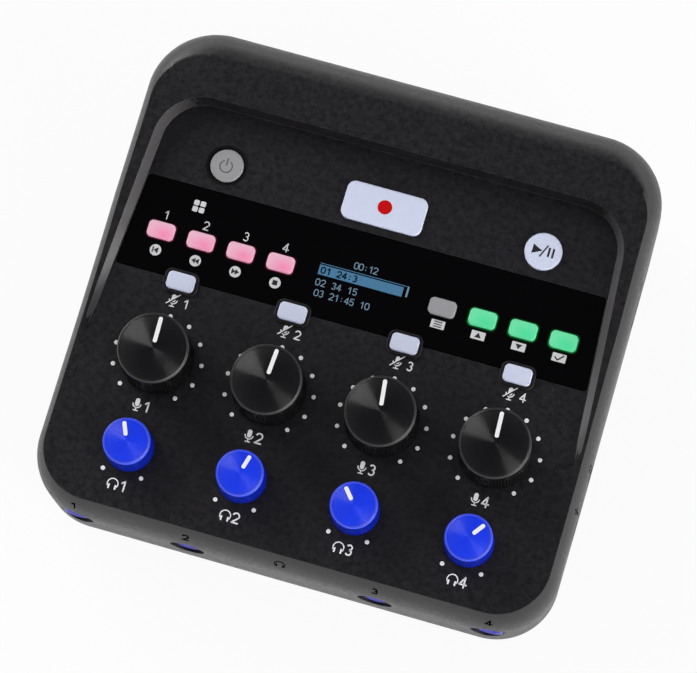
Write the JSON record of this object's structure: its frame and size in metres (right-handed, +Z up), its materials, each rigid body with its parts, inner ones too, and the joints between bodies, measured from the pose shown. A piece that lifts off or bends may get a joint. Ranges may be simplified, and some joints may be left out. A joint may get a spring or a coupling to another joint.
{
  "type": "podcast recorder",
  "caption": "Table-top podcast recorder: tilted panel with gain and volume knobs, lit pads and buttons, a small display, headphone jacks in front, microphone sockets behind.",
  "frame": {"origin": "middle of the case's width and depth, on the surface that the feet stand on", "axes": "+X to the user's right, +Y to the back, +Z up"},
  "size_m": [0.125, 0.1168, 0.0465],
  "materials": {
    "case": "fine textured, satin",
    "strip": "gloss",
    "display": "lit, pale blue",
    "board": "solder mask",
    "black_plastic": "moulded",
    "ring_blue": "moulded",
    "socket": "black, satin",
    "steel": "plain",
    "cell": "printed sleeve, bare",
    "rubber": "matt",
    "shaft": "turned",
    "gain_knob": "spun top, grooved side",
    "volume_knob": "blue, spun top",
    "white_button": "satin",
    "grey_button": "satin",
    "pink_button": "translucent, lit",
    "green_button": "translucent, lit"
  },
  "bodies": {
    "case": {"upper_case": "case", "lower_case": "case", "display_window": "strip", "oled_module": "display", "panel_board": "board", "tact_switches": "black_plastic", "potentiometers": "steel", "jack_board": "board", "jack_rings": "ring_blue", "xlr_inserts": "black_plastic", "xlr_board": "board", "usb_port": "steel", "phone_jack": "black_plastic", "card_slot": "steel", "battery_cells": "cell", "battery_contacts": "steel", "rubber_feet": "rubber", "case_screws": "steel", "board_screws": "steel", "headphone_jack_1": "black_plastic", "xlr_socket_1": "socket", "headphone_jack_2": "black_plastic", "xlr_socket_2": "socket", "headphone_jack_3": "black_plastic", "xlr_socket_3": "socket", "headphone_jack_4": "black_plastic", "xlr_socket_4": "socket"},
    "power_button": {"power_button": "grey_button"},
    "record_button": {"record_button": "white_button"},
    "play_button": {"play_button": "white_button"},
    "mute_button_1": {"mute_button_1": "white_button"},
    "mute_button_2": {"mute_button_2": "white_button"},
    "mute_button_3": {"mute_button_3": "white_button"},
    "mute_button_4": {"mute_button_4": "white_button"},
    "sound_pad_a": {"sound_pad_a": "pink_button"},
    "sound_pad_b": {"sound_pad_b": "pink_button"},
    "sound_pad_c": {"sound_pad_c": "pink_button"},
    "sound_pad_d": {"sound_pad_d": "pink_button"},
    "menu_button": {"menu_button": "grey_button"},
    "tone_button": {"tone_button": "green_button"},
    "comp_button": {"comp_button": "green_button"},
    "noise_button": {"noise_button": "green_button"},
    "gain_control_1": {"gain_knob_1": "gain_knob", "gain_shaft_1": "shaft"},
    "gain_control_2": {"gain_knob_2": "gain_knob", "gain_shaft_2": "shaft"},
    "gain_control_3": {"gain_knob_3": "gain_knob", "gain_shaft_3": "shaft"},
    "gain_control_4": {"gain_knob_4": "gain_knob", "gain_shaft_4": "shaft"},
    "volume_control_1": {"volume_knob_1": "volume_knob", "volume_shaft_1": "shaft"},
    "volume_control_2": {"volume_knob_2": "volume_knob", "volume_shaft_2": "shaft"},
    "volume_control_3": {"volume_knob_3": "volume_knob", "volume_shaft_3": "shaft"},
    "volume_control_4": {"volume_knob_4": "volume_knob", "volume_shaft_4": "shaft"},
    "card_cover": {"card_cover": "case"},
    "battery_door": {"battery_door": "case"}
  },
  "joints": [
    {"name": "power_button_press", "type": "slide", "parent": "case", "child": "power_button", "axis": [0, 0.1392, -0.9903], "range_m": [0, 0.0006], "stiffness_N_per_m": 1500, "springref_m": -0.0003},
    {"name": "record_button_press", "type": "slide", "parent": "case", "child": "record_button", "axis": [0, 0.1392, -0.9903], "range_m": [0, 0.0006], "stiffness_N_per_m": 1500, "springref_m": -0.0003},
    {"name": "play_button_press", "type": "slide", "parent": "case", "child": "play_button", "axis": [0, 0.1392, -0.9903], "range_m": [0, 0.0006], "stiffness_N_per_m": 1500, "springref_m": -0.0003},
    {"name": "mute_button_1_press", "type": "slide", "parent": "case", "child": "mute_button_1", "axis": [0, 0.1392, -0.9903], "range_m": [0, 0.0006], "stiffness_N_per_m": 1500, "springref_m": -0.0003},
    {"name": "mute_button_2_press", "type": "slide", "parent": "case", "child": "mute_button_2", "axis": [0, 0.1392, -0.9903], "range_m": [0, 0.0006], "stiffness_N_per_m": 1500, "springref_m": -0.0003},
    {"name": "mute_button_3_press", "type": "slide", "parent": "case", "child": "mute_button_3", "axis": [0, 0.1392, -0.9903], "range_m": [0, 0.0006], "stiffness_N_per_m": 1500, "springref_m": -0.0003},
    {"name": "mute_button_4_press", "type": "slide", "parent": "case", "child": "mute_button_4", "axis": [0, 0.1392, -0.9903], "range_m": [0, 0.0006], "stiffness_N_per_m": 1500, "springref_m": -0.0003},
    {"name": "sound_pad_a_press", "type": "slide", "parent": "case", "child": "sound_pad_a", "axis": [0, 0.1392, -0.9903], "range_m": [0, 0.0006], "stiffness_N_per_m": 1500, "springref_m": -0.0003},
    {"name": "sound_pad_b_press", "type": "slide", "parent": "case", "child": "sound_pad_b", "axis": [0, 0.1392, -0.9903], "range_m": [0, 0.0006], "stiffness_N_per_m": 1500, "springref_m": -0.0003},
    {"name": "sound_pad_c_press", "type": "slide", "parent": "case", "child": "sound_pad_c", "axis": [0, 0.1392, -0.9903], "range_m": [0, 0.0006], "stiffness_N_per_m": 1500, "springref_m": -0.0003},
    {"name": "sound_pad_d_press", "type": "slide", "parent": "case", "child": "sound_pad_d", "axis": [0, 0.1392, -0.9903], "range_m": [0, 0.0006], "stiffness_N_per_m": 1500, "springref_m": -0.0003},
    {"name": "menu_button_press", "type": "slide", "parent": "case", "child": "menu_button", "axis": [0, 0.1392, -0.9903], "range_m": [0, 0.0006], "stiffness_N_per_m": 1500, "springref_m": -0.0003},
    {"name": "tone_button_press", "type": "slide", "parent": "case", "child": "tone_button", "axis": [0, 0.1392, -0.9903], "range_m": [0, 0.0006], "stiffness_N_per_m": 1500, "springref_m": -0.0003},
    {"name": "comp_button_press", "type": "slide", "parent": "case", "child": "comp_button", "axis": [0, 0.1392, -0.9903], "range_m": [0, 0.0006], "stiffness_N_per_m": 1500, "springref_m": -0.0003},
    {"name": "noise_button_press", "type": "slide", "parent": "case", "child": "noise_button", "axis": [0, 0.1392, -0.9903], "range_m": [0, 0.0006], "stiffness_N_per_m": 1500, "springref_m": -0.0003},
    {"name": "gain_turn_1", "type": "hinge", "parent": "case", "child": "gain_control_1", "pos_m": [-0.0405, -0.02116, 0.0305], "axis": [0, -0.1392, 0.9903], "range_deg": [-141.7, 138.3]},
    {"name": "gain_turn_2", "type": "hinge", "parent": "case", "child": "gain_control_2", "pos_m": [-0.0135, -0.02116, 0.0305], "axis": [0, -0.1392, 0.9903], "range_deg": [-136.5, 143.5]},
    {"name": "gain_turn_3", "type": "hinge", "parent": "case", "child": "gain_control_3", "pos_m": [0.0135, -0.02116, 0.0305], "axis": [0, -0.1392, 0.9903], "range_deg": [-147, 133]},
    {"name": "gain_turn_4", "type": "hinge", "parent": "case", "child": "gain_control_4", "pos_m": [0.0405, -0.02116, 0.0305], "axis": [0, -0.1392, 0.9903], "range_deg": [-142.7, 137.3]},
    {"name": "volume_turn_1", "type": "hinge", "parent": "case", "child": "volume_control_1", "pos_m": [-0.0405, -0.04275, 0.02747], "axis": [0, -0.1392, 0.9903], "range_deg": [-163, 117]},
    {"name": "volume_turn_2", "type": "hinge", "parent": "case", "child": "volume_control_2", "pos_m": [-0.0135, -0.04275, 0.02747], "axis": [0, -0.1392, 0.9903], "range_deg": [-125, 155]},
    {"name": "volume_turn_3", "type": "hinge", "parent": "case", "child": "volume_control_3", "pos_m": [0.0135, -0.04275, 0.02747], "axis": [0, -0.1392, 0.9903], "range_deg": [-180, 100]},
    {"name": "volume_turn_4", "type": "hinge", "parent": "case", "child": "volume_control_4", "pos_m": [0.0405, -0.04275, 0.02747], "axis": [0, -0.1392, 0.9903], "range_deg": [-104, 176]},
    {"name": "card_cover_hinge", "type": "hinge", "parent": "case", "child": "card_cover", "pos_m": [0.06125, 0.02751, 0.02548], "axis": [0, 0.9903, 0.1392], "range_deg": [0, 90]},
    {"name": "battery_door_slide", "type": "slide", "parent": "case", "child": "battery_door", "axis": [-1, 0, 0], "range_m": [0, 0.012]}
  ]
}
